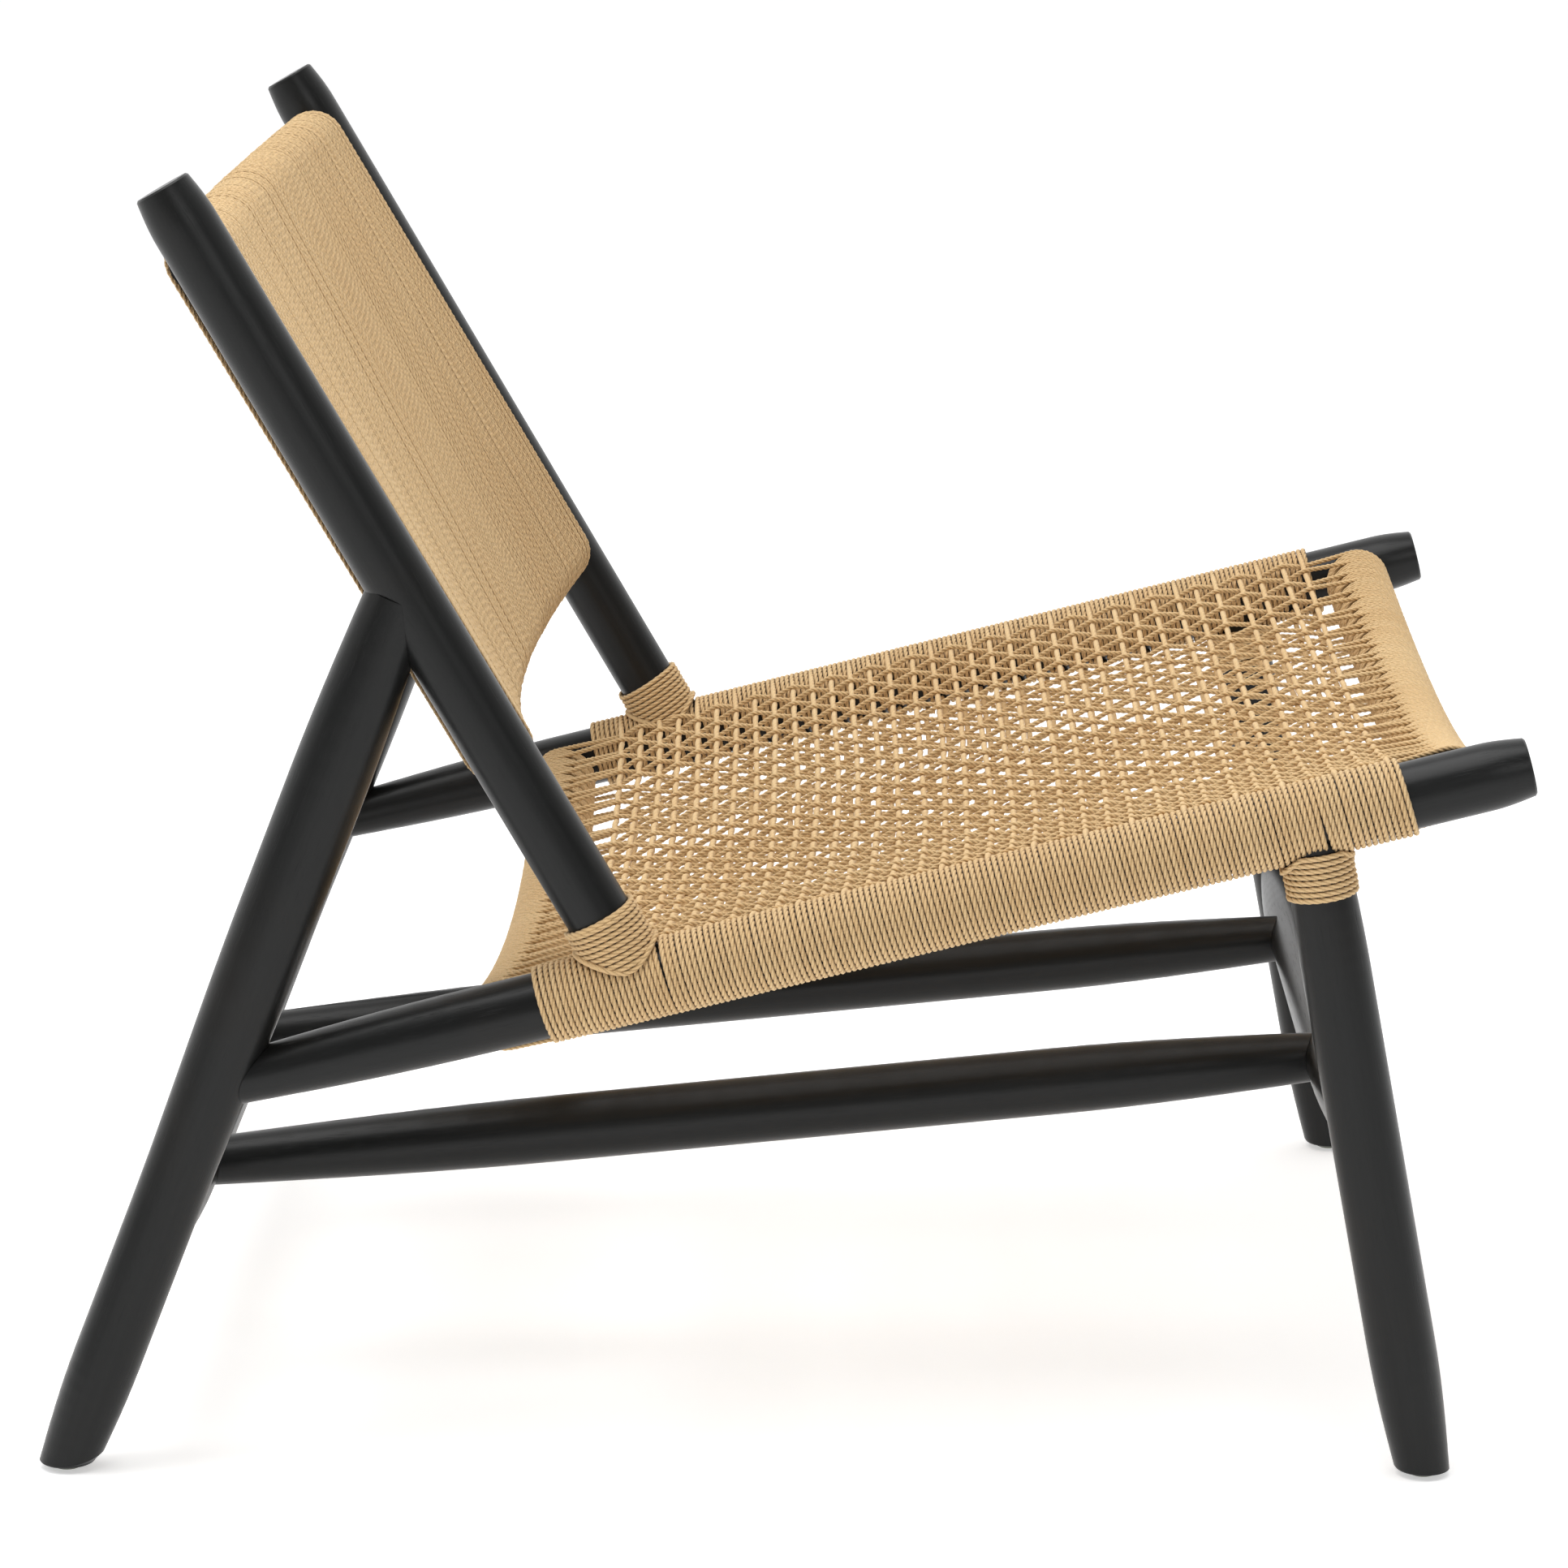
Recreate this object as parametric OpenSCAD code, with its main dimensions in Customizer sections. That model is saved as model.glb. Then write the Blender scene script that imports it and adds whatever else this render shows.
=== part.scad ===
// Low lounge chair: round hardwood sticks joined with mortises and tenons,
// with a seat and back of twisted paper cord. Millimetres, +Z up, the sitter
// faces -Y, and the origin is on the floor under the middle of the chair.

/* [Side frames] */
// Distance between the centre planes of the two side frames
frame_spacing = 630; // [560:5:700]
// Distance of the rear foot's centre behind the origin
rear_foot_y = 384.7; // [370:0.1:400]
// Distance of the front foot's centre in front of the origin
front_foot_y = 348.8; // [335:0.1:360]
// Forward lean of the rear leg, degrees from upright
rear_leg_lean = 21.4; // [18:0.2:24]
// Backward lean of the back post, degrees from upright
post_lean = 30; // [26:0.5:33]
// Lean of the front leg, top towards the rear, degrees from upright
front_leg_lean = 10.7; // [7:0.1:14]
// Rise of the seat rails towards the front, degrees
seat_slope = 14.2; // [11:0.2:17]
// Height at which a seat rail enters its rear leg
rail_joint_z = 214; // [205:1:225]

/* [Sticks] */
// Length of a seat rail from the rear leg's centre line to its tip
rail_length = 718; // [700:1:740]
// Diameter of a seat rail
rail_d = 36; // [34:0.5:38]
// Distance along a seat rail from the rear leg to the back post
post_station = 235; // [225:1:245]
// Length of a back post from the seat rail's centre line to its top
post_length = 486; // [470:1:500]
// Diameter of a back post
post_d = 35.5; // [34:0.5:37]
// Diameter of a leg at its foot
foot_d = 28.6; // [26:0.2:30]
// Diameter of a leg above its tapered foot
leg_d = 36.8; // [35:0.2:38]
// Largest diameter of a rear leg, above the seat rail
rear_leg_bulge_d = 42.4; // [40:0.2:44]
// Diameter of the front and rear stretchers at their middle
cross_stretcher_d = 39.4; // [36:0.2:41]
// Diameter of a long stretcher at its middle
long_stretcher_d = 37.6; // [35:0.2:39]
// Diameter of a stretcher at its ends
stretcher_end_d = 27; // [25:0.5:29]
// Height of the front stretcher
front_stretcher_z = 185; // [175:1:195]
// Height of the rear stretcher
rear_stretcher_z = 118; // [108:1:128]
// Distance between the two long stretchers
long_stretcher_spacing = 274; // [240:2:300]

/* [Curved rails] */
// Diameter of the four curved rails under their cord
curved_rail_d = 33.2; // [31:0.2:34]
// Distance along a seat rail to the curved rear rail
seat_rear_station = 158.5; // [156:0.5:159]
// Distance along a seat rail to the curved front rail
seat_front_station = 677.5; // [676:0.5:684]
// Depth of the front seat rail's middle below its ends
seat_front_sag = 32; // [20:1:36]
// Depth of the rear seat rail's middle below its ends
seat_rear_sag = 22; // [14:1:30]
// Distance up a back post to the lower back rail
back_bottom_station = 144; // [140:1:150]
// Distance up a back post to the upper back rail
back_top_station = 443; // [430:1:450]
// Depth of the upper back rail's middle behind its ends
back_top_bow = 12; // [8:1:18]
// Depth of the lower back rail's middle behind its ends
back_bottom_bow = 26; // [18:1:30]

/* [Cord] */
// Thickness of one layer of wound cord
cord_d = 3.2; // [2.8:0.1:3.4]
// Distance along a seat rail to the first turn of its winding
wrap_rear_station = 181; // [181:0.5:184]
// Distance along a seat rail to the last turn of its winding
wrap_front_station = 651; // [645:0.5:652]
// Height of a post collar above the seat rail's centre line
post_collar_top = 43; // [38:0.5:48]
// Depth of a front leg collar below the seat rail's centre line
leg_collar_bottom = 40.8; // [36:0.2:44]

/* [Fastening] */
// Diameter of the tenons on legs, posts and stretchers
tenon_d = 18; // [14:0.5:19]
// Diameter of the dowel between a rear leg and its back post
dowel_d = 12; // [8:0.5:14]
// Diameter of a floor glide
glide_d = 16; // [14:0.5:20]
// Height of a floor glide below the wood
glide_h = 3; // [2:0.5:4]

/* [Hidden] */

WOOD = "#2a2b2b";
CORD = "#d9b98a";
RAW_WOOD = "#c9a873";
PLASTIC = "#83867a";
STEEL = "#b8b8b8";

RIGHT = -1;
LEFT = 1;
side_x = frame_spacing / 2;
glue = 0.1;              // clearance round tenons and under coped shoulders
big = 400;               // larger than any stick's reach from a joint
round_fn = 64;
arc_fn = 360;

// ---- lines in the plane of a side frame, as [y, z] points and a lean ----
// A lean is measured from +Z towards +Y.
function dir(lean) = [sin(lean), cos(lean)];
function walk(p, lean, d) = p + d * dir(lean);
function cross2(a, b) = a[0] * b[1] - a[1] * b[0];
function reach(p, lean_p, q, lean_q) = cross2(q - p, dir(lean_q)) / cross2(dir(lean_p), dir(lean_q));
function lean_between(p, q) = atan2(q[0] - p[0], q[1] - p[1]);

rear_lean = -rear_leg_lean;
front_lean = front_leg_lean;
rail_lean = seat_slope - 90;
rear_foot = [rear_foot_y, 0];
front_foot = [-front_foot_y, 0];
function on_rear_leg(z) = walk(rear_foot, rear_lean, z / cos(rear_lean));
function on_front_leg(z) = walk(front_foot, front_lean, z / cos(front_lean));

rail_start = on_rear_leg(rail_joint_z);
rail_at_leg = reach(rail_start, rail_lean, front_foot, front_lean);
leg_rail_joint = walk(rail_start, rail_lean, rail_at_leg);
front_leg_length = norm(leg_rail_joint - front_foot);
post_start = walk(rail_start, rail_lean, post_station);
rear_leg_length = reach(rear_foot, rear_lean, post_start, post_lean);
front_stretcher_p = on_front_leg(front_stretcher_z);
rear_stretcher_p = on_rear_leg(rear_stretcher_z);
long_lean = lean_between(rear_stretcher_p, front_stretcher_p);
long_length = norm(front_stretcher_p - rear_stretcher_p);

// ---- solids of revolution along a stick's own Z axis ----
steps = 8;
function ease_up(r0, r1, z0, z1) =
    [for (i = [0 : steps]) [r0 + (r1 - r0) * sin(90 * i / steps), z0 + (z1 - z0) * i / steps]];
function ease_down(r0, r1, z0, z1) =
    [for (i = [0 : steps]) [r1 + (r0 - r1) * cos(90 * i / steps), z0 + (z1 - z0) * i / steps]];
function swell(r0, r1, z0, z1) =
    [for (i = [0 : steps]) [r0 + (r1 - r0) * (1 - cos(180 * i / steps)) / 2, z0 + (z1 - z0) * i / steps]];

module turned(profile, grow = 0) {
    first = profile[0];
    last = profile[len(profile) - 1];
    rim = [for (p = profile) [p[0] + grow, p[1]]];
    rotate_extrude($fn = round_fn)
        polygon(concat([[0, first[1]]], rim, [[0, last[1]]]));
}

// Puts a stick's Z axis on a line of the plane at x
module in_plane(x, p, lean) {
    translate([x, p[0], p[1]]) rotate([-lean, 0, 0]) children();
}

module on_line(side, p, lean) {
    in_plane(side * side_x, p, lean) children();
}

// Puts a stick's Z axis along +X through a [y, z] point
module across(p, x = 0) {
    translate([x, p[0], p[1]]) rotate([0, 90, 0]) children();
}

module rod(d, z0, z1) {
    translate([0, 0, z0]) cylinder(d = d, h = z1 - z0, $fn = round_fn);
}

// ---- profiles ----
foot_taper = 66;
leg_r = leg_d / 2;
bulge_r = rear_leg_bulge_d / 2;
swell_start = 150;
swell_end = 330;
bulge_end = 400;
rear_top_r = 18;
rear_top_gap = 5;
rear_leg_profile = concat(
    ease_up(foot_d / 2, leg_r, -6, foot_taper),
    swell(leg_r, bulge_r, swell_start, swell_end),
    ease_down(bulge_r, rear_top_r, bulge_end, rear_leg_length - rear_top_gap));

front_top_r = 15.8;
front_top_taper = 86;
rail_r = rail_d / 2;
front_leg_profile = concat(
    ease_up(foot_d / 2 - 0.6, leg_r, -6, foot_taper + 10),
    ease_down(leg_r, front_top_r, front_leg_length - front_top_taper, front_leg_length - rail_r / 2));

tip_taper = 25;
tip_shrink = 2.4;
tip_edge = 1;
function tip(r, z) = concat(
    ease_down(r, r - tip_shrink, z - tip_taper, z - tip_edge), [[r - tip_shrink - tip_edge, z]]);
rail_neck_r = 13.6;
rail_neck = 14;
rail_profile = concat(ease_up(rail_neck_r, rail_r, rail_neck, 150), tip(rail_r, rail_length));
post_profile = concat([[post_d / 2, rail_r / 2]], tip(post_d / 2, post_length));

long_taper_rear = 215;
long_taper_front = 160;
long_end_gap = 10;
long_profile = concat(
    ease_up(stretcher_end_d / 2, long_stretcher_d / 2, long_end_gap, long_taper_rear),
    ease_down(long_stretcher_d / 2, stretcher_end_d / 2,
        long_length - long_taper_front, long_length - long_end_gap));
cross_taper = 150;
cross_end = side_x - 10;
cross_profile = concat(
    ease_up(stretcher_end_d / 2, cross_stretcher_d / 2, -cross_end, cross_taper - cross_end),
    ease_down(cross_stretcher_d / 2, stretcher_end_d / 2, cross_end - cross_taper, cross_end));

// ---- grown copies of sticks, used as cutters for coped shoulders ----
module rear_leg_body(side, grow = 0) {
    on_line(side, rear_foot, rear_lean) turned(rear_leg_profile, grow);
}

module front_leg_body(side, grow = 0) {
    on_line(side, front_foot, front_lean) turned(front_leg_profile, grow);
}

module rail_bar(side, r) {
    on_line(side, rail_start, rail_lean) rod(2 * r, rail_neck, rail_length + big);
}

module post_bar(side, r) {
    on_line(side, post_start, post_lean) rod(2 * r, 0, post_length + big);
}

// ---- tenons: grow = 0 for the tenon, glue for its mortise ----
rail_tenon_tip = -9;
post_tenon_tip = -8;
leg_tenon_tip = 8;
long_tenon_over = 5;
cross_tenon_over = 5;
curved_tenon_d = 16;

module rail_tenon(side, grow = 0) {
    on_line(side, rail_start, rail_lean)
        rod(tenon_d + 2 * grow, rail_tenon_tip - 10 * grow, rail_neck + 30);
}

module post_tenon(side, grow = 0) {
    on_line(side, post_start, post_lean)
        rod(tenon_d + 2 * grow, post_tenon_tip - 10 * grow, rail_d);
}

module front_leg_tenon(side, grow = 0) {
    on_line(side, front_foot, front_lean)
        rod(tenon_d + 2 * grow, front_leg_length - rail_d, front_leg_length + leg_tenon_tip + 10 * grow);
}

module long_tenons(side, grow = 0) {
    over = long_tenon_over + 10 * grow;
    in_plane(side * long_stretcher_spacing / 2, rear_stretcher_p, long_lean) {
        rod(tenon_d - 2 + 2 * grow, -over, 50);
        rod(tenon_d - 2 + 2 * grow, long_length - 50, long_length + over);
    }
}

module cross_tenons(p, d, grow = 0) {
    over = side_x + cross_tenon_over + 10 * grow;
    across(p) {
        rod(d + 2 * grow, -over, 40 - side_x);
        rod(d + 2 * grow, side_x - 40, over);
    }
}

dowel_out = 10;
dowel_in = 46;
module dowel_rod(side, grow = 0) {
    on_line(side, rear_foot, rear_lean)
        rod(dowel_d + 2 * grow, rear_leg_length - dowel_in - 10 * grow,
            rear_leg_length + dowel_out + 10 * grow);
}

// ---- points of the cross members ----
seat_up_lean = rail_lean + 90;
back_front_lean = post_lean - 90;
seat_front_drop = 2.5;
seat_rear_drop = 5;
back_bottom_set = 3;
back_top_set = 4.7;
seat_front_p = walk(walk(rail_start, rail_lean, seat_front_station), seat_up_lean, -seat_front_drop);
seat_rear_p = walk(walk(rail_start, rail_lean, seat_rear_station), seat_up_lean, -seat_rear_drop);
back_bottom_p = walk(walk(post_start, post_lean, back_bottom_station), back_front_lean, -back_bottom_set);
back_top_p = walk(walk(post_start, post_lean, back_top_station), back_front_lean, -back_top_set);

// ---- curved rails: a circular arc whose ends lie at x = +-bow_half ----
bow_half = side_x - 18;
function bow_radius(bow) = (bow_half * bow_half + bow * bow) / (2 * bow);
function dip(x, bow) = sqrt(pow(bow_radius(bow), 2) - x * x) - bow_radius(bow) + bow;

// Sweeps a ring or a disc along the arc. The bow points along local -Z,
// and the local Z axis has the given lean.
module bowed(p, lean, bow, d, hole, half) {
    radius = bow_radius(bow);
    sweep = 2 * asin(half / radius);
    translate([0, p[0], p[1]]) rotate([-lean, 0, 0])
        translate([0, 0, radius - bow]) rotate([90, 0, 0]) rotate([0, 0, -90 - sweep / 2])
            rotate_extrude(angle = sweep, $fn = arc_fn)
                translate([radius, 0]) difference() {
                    circle(d = d, $fn = round_fn);
                    if (hole > 0) circle(d = hole, $fn = round_fn);
                }
}

brad_d = 2;
brad_l = 15;
brad_x = bow_half - 14;

// A brad pushed straight up into the underside of a curved rail, or its hole
module curved_rail_brads(p, lean, bow, grow = 0) {
    translate([0, p[0], p[1]]) rotate([-lean, 0, 0])
        for (s = [RIGHT, LEFT])
            translate([s * brad_x, 0, -dip(brad_x, bow)])
                rod(brad_d + 2 * grow, -curved_rail_d / 2 + 0.4, -curved_rail_d / 2 + 0.4 + brad_l + 5 * grow);
}

module curved_rail(p, lean, bow) {
    difference() {
        union() {
            bowed(p, lean, bow, curved_rail_d, 0, bow_half + 10);
            cross_tenons(p, curved_tenon_d);
        }
        curved_rail_brads(p, lean, bow, glue);
        children();
    }
}

// Everything outside the coped shoulders of a curved rail, clear of its tenons
module shoulder_cutter(p) {
    difference() {
        children();
        cross_tenons(p, curved_tenon_d, 0);
    }
}

brad_stations = [wrap_rear_station + 8, wrap_front_station - 8];
module side_rail_brads(side, grow = 0) {
    on_line(side, rail_start, rail_lean)
        for (s = brad_stations)
            translate([-side * (rail_r - 0.4), 0, s]) rotate([0, side * 90, 0])
                rod(brad_d + 2 * grow, 0, brad_l + 5 * grow);
}

// ---- feet ----
nail_d = 2.4;
nail_l = 15;
module glide_place(side, foot, lean) {
    p = walk(foot, lean, glide_h / cos(lean));
    translate([side * side_x, p[0], 0]) children();
}

module glide(side, foot, lean, grow = 0) {
    glide_place(side, foot, lean) {
        if (grow == 0)
            rotate_extrude($fn = round_fn) polygon([
                [0, 0], [glide_d / 2 - 1.6, 0], [glide_d / 2 - 0.5, 0.5], [glide_d / 2, 1.6],
                [glide_d / 2, glide_h - glue], [0, glide_h - glue]]);
        rod(nail_d + 2 * grow, glide_h - 1, glide_h + nail_l + 5 * grow);
    }
}

// Level floor cut with a softened edge
edge_r = 2.6;
foot_flat = foot_d / 2 - 1.4;
module foot_limit(side, foot, lean) {
    glide_place(side, foot, lean) rotate_extrude($fn = round_fn) polygon(concat(
        [[0, glide_h]],
        [for (i = [0 : 4]) [foot_flat + edge_r * sin(18 * i), glide_h + edge_r * (1 - cos(18 * i))]],
        [[foot_flat + edge_r + big, glide_h + edge_r + big], [0, 2 * big]]));
}

// ---- wooden parts ----
module rear_leg(side) {
    color(WOOD) difference() {
        intersection() {
            rear_leg_body(side);
            foot_limit(side, rear_foot, rear_lean);
        }
        post_bar(side, post_d / 2 + glue);
        rail_tenon(side, glue);
        cross_tenons(rear_stretcher_p, tenon_d, glue);
        dowel_rod(side, glue);
        glide(side, rear_foot, rear_lean, glue / 2);
    }
}

module front_leg(side) {
    color(WOOD) difference() {
        union() {
            intersection() {
                difference() {
                    front_leg_body(side);
                    rail_bar(side, rail_r + glue);
                }
                foot_limit(side, front_foot, front_lean);
            }
            front_leg_tenon(side);
        }
        cross_tenons(front_stretcher_p, tenon_d, glue);
        glide(side, front_foot, front_lean, glue / 2);
    }
}

module back_post(side) {
    color(WOOD) difference() {
        union() {
            difference() {
                on_line(side, post_start, post_lean) turned(post_profile);
                rail_bar(side, rail_r + glue);
            }
            post_tenon(side);
        }
        dowel_rod(side, glue);
        cross_tenons(back_bottom_p, curved_tenon_d, glue);
        cross_tenons(back_top_p, curved_tenon_d, glue);
    }
}

module seat_rail(side) {
    color(WOOD) difference() {
        union() {
            difference() {
                on_line(side, rail_start, rail_lean) turned(rail_profile);
                rear_leg_body(side, glue);
            }
            rail_tenon(side);
        }
        post_tenon(side, glue);
        front_leg_tenon(side, glue);
        cross_tenons(seat_rear_p, curved_tenon_d, glue);
        cross_tenons(seat_front_p, curved_tenon_d, glue);
        side_rail_brads(side, glue);
    }
}

module cross_body(p, grow = 0) {
    across(p) turned(cross_profile, grow);
}

module cross_stretcher(p) {
    color(WOOD) difference() {
        union() {
            difference() {
                cross_body(p);
                children();
            }
            cross_tenons(p, tenon_d);
        }
        for (s = [RIGHT, LEFT]) long_tenons(s, glue);
    }
}

module front_stretcher() {
    cross_stretcher(front_stretcher_p) for (s = [RIGHT, LEFT]) front_leg_body(s, glue);
}

module rear_stretcher() {
    cross_stretcher(rear_stretcher_p) for (s = [RIGHT, LEFT]) rear_leg_body(s, glue);
}

module long_stretcher(side) {
    color(WOOD) union() {
        difference() {
            in_plane(side * long_stretcher_spacing / 2, rear_stretcher_p, long_lean) turned(long_profile);
            cross_body(rear_stretcher_p, glue);
            cross_body(front_stretcher_p, glue);
        }
        long_tenons(side);
    }
}

module seat_front_rail() {
    color(WOOD) curved_rail(seat_front_p, seat_up_lean, seat_front_sag)
        shoulder_cutter(seat_front_p) for (s = [RIGHT, LEFT]) rail_bar(s, rail_r + glue);
}

module seat_rear_rail() {
    color(WOOD) curved_rail(seat_rear_p, seat_up_lean, seat_rear_sag)
        shoulder_cutter(seat_rear_p) for (s = [RIGHT, LEFT]) rail_bar(s, rail_r + glue);
}

module back_top_rail() {
    color(WOOD) curved_rail(back_top_p, back_front_lean, back_top_bow)
        shoulder_cutter(back_top_p) for (s = [RIGHT, LEFT]) post_bar(s, post_d / 2 + glue);
}

module back_bottom_rail() {
    color(WOOD) curved_rail(back_bottom_p, back_front_lean, back_bottom_bow)
        shoulder_cutter(back_bottom_p) for (s = [RIGHT, LEFT]) post_bar(s, post_d / 2 + glue);
}

// ---- hardware ----
module cord_brads() {
    color(STEEL) {
        for (s = [RIGHT, LEFT]) side_rail_brads(s);
        curved_rail_brads(seat_front_p, seat_up_lean, seat_front_sag);
        curved_rail_brads(seat_rear_p, seat_up_lean, seat_rear_sag);
        curved_rail_brads(back_top_p, back_front_lean, back_top_bow);
        curved_rail_brads(back_bottom_p, back_front_lean, back_bottom_bow);
    }
}

// ---- wound cord, as plain sleeves and plates ----
wrap_gap = 0.15;
wrap_half = bow_half - 0.7;
side_wrap_r = rail_r + wrap_gap + cord_d;
curved_wrap_d = curved_rail_d + 2 * cord_d + 2 * wrap_gap;

module side_rail_wrap(side) {
    color(CORD) difference() {
        on_line(side, rail_start, rail_lean) rod(2 * side_wrap_r, wrap_rear_station, wrap_front_station);
        rail_bar(side, rail_r + wrap_gap);
        on_line(side, post_start, post_lean) rod(post_d + 2 * wrap_gap, 0, 2 * rail_d);
        on_line(side, front_foot, front_lean)
            rod(2 * front_top_r + 4 * wrap_gap, front_leg_length - 2 * rail_d, front_leg_length);
    }
}

module post_collar(side) {
    color(CORD) difference() {
        on_line(side, post_start, post_lean) rod(post_d + 2 * cord_d, rail_r, post_collar_top);
        post_bar(side, post_d / 2 + wrap_gap);
        rail_bar(side, side_wrap_r + wrap_gap);
    }
}

module leg_collar(side) {
    color(CORD) difference() {
        on_line(side, front_foot, front_lean)
            rod(2 * front_top_r + 2 * cord_d + 2, front_leg_length - leg_collar_bottom, front_leg_length - rail_r);
        front_leg_body(side, wrap_gap);
        rail_bar(side, side_wrap_r + wrap_gap);
    }
}

module curved_wrap(p, lean, bow) {
    color(CORD) intersection() {
        bowed(p, lean, bow, curved_wrap_d, curved_rail_d + 2 * wrap_gap, bow_half + 10);
        cube([2 * wrap_half, 4 * big, 4 * big], center = true);
    }
}

// A thin plate between two bowed edges. Each edge is given by its [y, z] end
// point and its bow, and the plate lies between two heights along the lean.
plate_cells = 18;
module bowed_plate(p, q, lean, bow_p, bow_q, low, high, half) {
    up = dir(lean);
    function corner(x, e, bow, h) = let (c = e + (h - dip(x, bow)) * up) [x, c[0], c[1]];
    ring = [for (i = [0 : plate_cells])
        let (x = -half + 2 * half * i / plate_cells)
        [corner(x, p, bow_p, low), corner(x, q, bow_q, low),
         corner(x, q, bow_q, high), corner(x, p, bow_p, high)]];
    points = [for (r = ring) each r];
    last = 4 * plate_cells;
    sides = [for (i = [0 : plate_cells - 1]) for (k = [0 : 3])
        let (a = 4 * i + k, b = 4 * i + (k + 1) % 4)
        each [[a, b, b + 4], [a, b + 4, a + 4]]];
    caps = [[0, 2, 1], [0, 3, 2], [last, last + 1, last + 2], [last, last + 2, last + 3]];
    polyhedron(points = points, faces = concat(sides, caps), convexity = 4);
}

weave_low = 13.6;
weave_high = curved_wrap_d / 2;
weave_inset = 15.2;
weave_half = side_x - side_wrap_r - 1.5;
strand_low = weave_high - cord_d;
strand_inset = 11.6;

module seat_weave() {
    color(CORD) bowed_plate(
        walk(seat_front_p, rail_lean, -weave_inset), walk(seat_rear_p, rail_lean, weave_inset),
        seat_up_lean, seat_front_sag, seat_rear_sag, weave_low, weave_high, weave_half);
}

module back_front_strands() {
    color(CORD) bowed_plate(
        walk(back_top_p, post_lean, -strand_inset), walk(back_bottom_p, post_lean, strand_inset),
        back_front_lean, back_top_bow, back_bottom_bow, strand_low, weave_high, wrap_half);
}

module back_rear_strands() {
    color(CORD) bowed_plate(
        walk(back_top_p, post_lean, -strand_inset), walk(back_bottom_p, post_lean, strand_inset),
        back_front_lean, back_top_bow, back_bottom_bow, -weave_high, -strand_low, wrap_half);
}

rear_leg(RIGHT);  // rear_leg_right
rear_leg(LEFT);  // rear_leg_left
back_post(RIGHT);  // back_post_right
back_post(LEFT);  // back_post_left
seat_rail(RIGHT);  // seat_rail_right
seat_rail(LEFT);  // seat_rail_left
front_leg(RIGHT);  // front_leg_right
front_leg(LEFT);  // front_leg_left
long_stretcher(RIGHT);  // long_stretcher_right
long_stretcher(LEFT);  // long_stretcher_left
front_stretcher();
rear_stretcher();
seat_front_rail();
seat_rear_rail();
back_top_rail();
back_bottom_rail();
color(RAW_WOOD) dowel_rod(RIGHT);  // leg_dowel_right
color(RAW_WOOD) dowel_rod(LEFT);  // leg_dowel_left
color(PLASTIC) glide(RIGHT, rear_foot, rear_lean);  // glide_rear_right
color(PLASTIC) glide(LEFT, rear_foot, rear_lean);  // glide_rear_left
color(PLASTIC) glide(RIGHT, front_foot, front_lean);  // glide_front_right
color(PLASTIC) glide(LEFT, front_foot, front_lean);  // glide_front_left
cord_brads();
side_rail_wrap(RIGHT);  // side_rail_wrap_right
side_rail_wrap(LEFT);  // side_rail_wrap_left
post_collar(RIGHT);  // post_collar_right
post_collar(LEFT);  // post_collar_left
leg_collar(RIGHT);  // leg_collar_right
leg_collar(LEFT);  // leg_collar_left
curved_wrap(seat_front_p, seat_up_lean, seat_front_sag);  // seat_front_wrap
curved_wrap(seat_rear_p, seat_up_lean, seat_rear_sag);  // seat_rear_wrap
seat_weave();
curved_wrap(back_top_p, back_front_lean, back_top_bow);  // back_top_wrap
curved_wrap(back_bottom_p, back_front_lean, back_bottom_bow);  // back_bottom_wrap
back_front_strands();
back_rear_strands();
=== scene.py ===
"""Low lounge chair: black round sticks with a woven seat and a wound back of twisted paper cord."""
import math

import bpy
import numpy as np
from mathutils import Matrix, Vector


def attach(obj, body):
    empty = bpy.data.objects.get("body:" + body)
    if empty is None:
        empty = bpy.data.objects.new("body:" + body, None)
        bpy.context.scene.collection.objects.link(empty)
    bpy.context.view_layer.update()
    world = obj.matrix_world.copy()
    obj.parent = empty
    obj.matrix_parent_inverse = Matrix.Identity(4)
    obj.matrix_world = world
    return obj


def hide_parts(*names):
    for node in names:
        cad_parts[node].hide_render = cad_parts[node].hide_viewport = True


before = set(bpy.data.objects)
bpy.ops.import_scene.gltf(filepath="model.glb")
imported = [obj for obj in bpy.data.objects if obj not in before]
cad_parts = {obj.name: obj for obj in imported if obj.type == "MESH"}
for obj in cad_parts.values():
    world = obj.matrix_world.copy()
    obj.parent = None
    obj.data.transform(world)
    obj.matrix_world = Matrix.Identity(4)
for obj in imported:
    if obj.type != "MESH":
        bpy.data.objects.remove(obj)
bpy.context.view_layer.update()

rng = np.random.default_rng(7)
MM = 0.001

# ---- the chair's dimensions in millimetres and degrees, as in part.scad ----
SIDE_X = 315.0
REAR_FOOT = np.array([384.7, 0.0])
FRONT_FOOT = np.array([-348.8, 0.0])
REAR_LEAN = -21.4
FRONT_LEAN = 10.7
POST_LEAN = 30.0
SEAT_SLOPE = 14.2
RAIL_LEAN = SEAT_SLOPE - 90.0
RAIL_JOINT_Z = 214.0
POST_STATION = 235.0
FRONT_STRETCHER_Z = 185.0
REAR_STRETCHER_Z = 118.0
RAIL_R = 18.0
POST_R = 17.75
LEG_TOP_R = 15.8
CURVED_R = 16.6
SEAT_REAR = {"station": 158.5, "drop": 5.0, "bow": 22.0}
SEAT_FRONT = {"station": 677.5, "drop": 2.5, "bow": 32.0}
BACK_BOTTOM = {"station": 144.0, "drop": 3.0, "bow": 26.0}
BACK_TOP = {"station": 443.0, "drop": 4.7, "bow": 12.0}
BOW_HALF = 297.0
WRAP_REAR = 181.0
WRAP_FRONT = 651.0
POST_COLLAR_TOP = 43.0
LEG_COLLAR_BOTTOM = 40.8

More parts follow.
